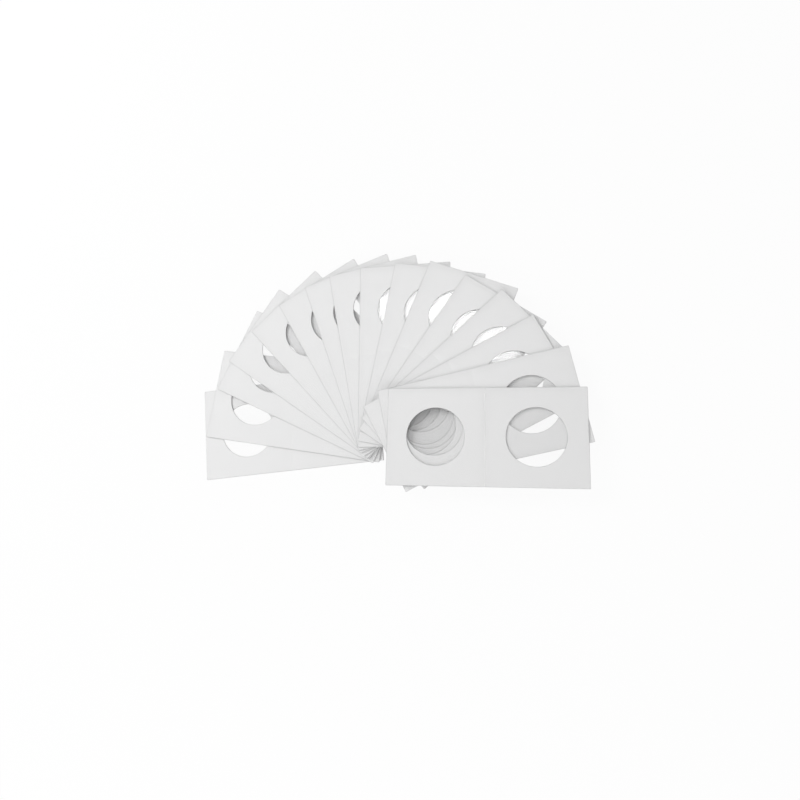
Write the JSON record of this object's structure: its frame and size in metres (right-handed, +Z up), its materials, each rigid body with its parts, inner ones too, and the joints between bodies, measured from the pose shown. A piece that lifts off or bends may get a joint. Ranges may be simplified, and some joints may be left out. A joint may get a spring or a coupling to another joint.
{
  "type": "coin holder flip set",
  "caption": "Fanned set of opened paperboard coin holder flips with round film-covered windows; the flips swivel on the pile and the front flip folds at its crease.",
  "frame": {"origin": "on the table, under the middle of the fan's box in plan", "axes": "+X along the front flip from its near leaf to its far leaf, +Y away from the viewer, +Z up from the table"},
  "size_m": [0.211, 0.1306, 0.0098],
  "materials": {
    "board": "uncoated white paperboard, matt",
    "film": "clear polyester film, glossy"
  },
  "bodies": {
    "flip_01": {"flip_01_board": "board", "flip_01_film": "film"},
    "flip_02": {"flip_02_board": "board", "flip_02_film": "film"},
    "flip_03": {"flip_03_board": "board", "flip_03_film": "film"},
    "flip_04": {"flip_04_board": "board", "flip_04_film": "film"},
    "flip_05": {"flip_05_board": "board", "flip_05_film": "film"},
    "flip_06": {"flip_06_board": "board", "flip_06_film": "film"},
    "flip_07": {"flip_07_board": "board", "flip_07_film": "film"},
    "flip_08": {"flip_08_board": "board", "flip_08_film": "film"},
    "flip_09": {"flip_09_board": "board", "flip_09_film": "film"},
    "flip_10": {"flip_10_board": "board", "flip_10_film": "film"},
    "flip_11": {"flip_11_board": "board", "flip_11_film": "film"},
    "flip_12": {"flip_12_board": "board", "flip_12_film": "film"},
    "flip_13": {"flip_13_board": "board", "flip_13_film": "film"},
    "flip_14": {"flip_14_board": "board", "flip_14_film": "film"},
    "flip_15": {"flip_15_board": "board", "flip_15_film": "film"},
    "flip_16_near": {"flip_16_near_board": "board", "flip_16_near_film": "film"},
    "flip_16_far": {"flip_16_far_board": "board", "flip_16_far_film": "film"}
  },
  "joints": [
    {"name": "flip_02_swivel", "type": "hinge", "parent": "flip_01", "child": "flip_02", "pos_m": [-0.00648, -0.03985, 0.0006], "axis": [0, 0, 1], "range_deg": [0, 14.5]},
    {"name": "flip_03_swivel", "type": "hinge", "parent": "flip_01", "child": "flip_03", "pos_m": [-0.00635, -0.03958, 0.0012], "axis": [0, 0, 1], "range_deg": [0, 31]},
    {"name": "flip_04_swivel", "type": "hinge", "parent": "flip_01", "child": "flip_04", "pos_m": [-0.00346, -0.0386, 0.0018], "axis": [0, 0, 1], "range_deg": [0, 40]},
    {"name": "flip_05_swivel", "type": "hinge", "parent": "flip_01", "child": "flip_05", "pos_m": [-0.00397, -0.04004, 0.0024], "axis": [0, 0, 1], "range_deg": [0, 52.5]},
    {"name": "flip_06_swivel", "type": "hinge", "parent": "flip_01", "child": "flip_06", "pos_m": [-0.0045, -0.03986, 0.003], "axis": [0, 0, 1], "range_deg": [0, 65.5]},
    {"name": "flip_07_swivel", "type": "hinge", "parent": "flip_01", "child": "flip_07", "pos_m": [-0.00429, -0.03951, 0.0036], "axis": [0, 0, 1], "range_deg": [0, 76]},
    {"name": "flip_08_swivel", "type": "hinge", "parent": "flip_01", "child": "flip_08", "pos_m": [-0.00429, -0.03956, 0.0042], "axis": [0, 0, 1], "range_deg": [0, 85]},
    {"name": "flip_09_swivel", "type": "hinge", "parent": "flip_01", "child": "flip_09", "pos_m": [-0.00403, -0.03982, 0.0048], "axis": [0, 0, 1], "range_deg": [0, 95.5]},
    {"name": "flip_10_swivel", "type": "hinge", "parent": "flip_01", "child": "flip_10", "pos_m": [-0.00339, -0.03923, 0.0054], "axis": [0, 0, 1], "range_deg": [0, 107]},
    {"name": "flip_11_swivel", "type": "hinge", "parent": "flip_01", "child": "flip_11", "pos_m": [-0.00197, -0.03788, 0.006], "axis": [0, 0, 1], "range_deg": [0, 118]},
    {"name": "flip_12_swivel", "type": "hinge", "parent": "flip_01", "child": "flip_12", "pos_m": [-0.00292, -0.03823, 0.0066], "axis": [0, 0, 1], "range_deg": [0, 130.5]},
    {"name": "flip_13_swivel", "type": "hinge", "parent": "flip_01", "child": "flip_13", "pos_m": [-0.00241, -0.03627, 0.0072], "axis": [0, 0, 1], "range_deg": [0, 144]},
    {"name": "flip_14_swivel", "type": "hinge", "parent": "flip_01", "child": "flip_14", "pos_m": [-0.00283, -0.03424, 0.0078], "axis": [0, 0, 1], "range_deg": [0, 158.5]},
    {"name": "flip_15_swivel", "type": "hinge", "parent": "flip_01", "child": "flip_15", "pos_m": [-0.00072, -0.03106, 0.0084], "axis": [0, 0, 1], "range_deg": [0, 174]},
    {"name": "flip_16_swivel", "type": "hinge", "parent": "flip_01", "child": "flip_16_near", "pos_m": [0.0002, -0.03054, 0.009], "axis": [0, 0, 1], "range_deg": [0, 187]},
    {"name": "front_flip_fold", "type": "hinge", "parent": "flip_16_near", "child": "flip_16_far", "pos_m": [0.0528, -0.03736, 0.00955], "axis": [0, -1, 0], "range_deg": [0, 180]}
  ]
}
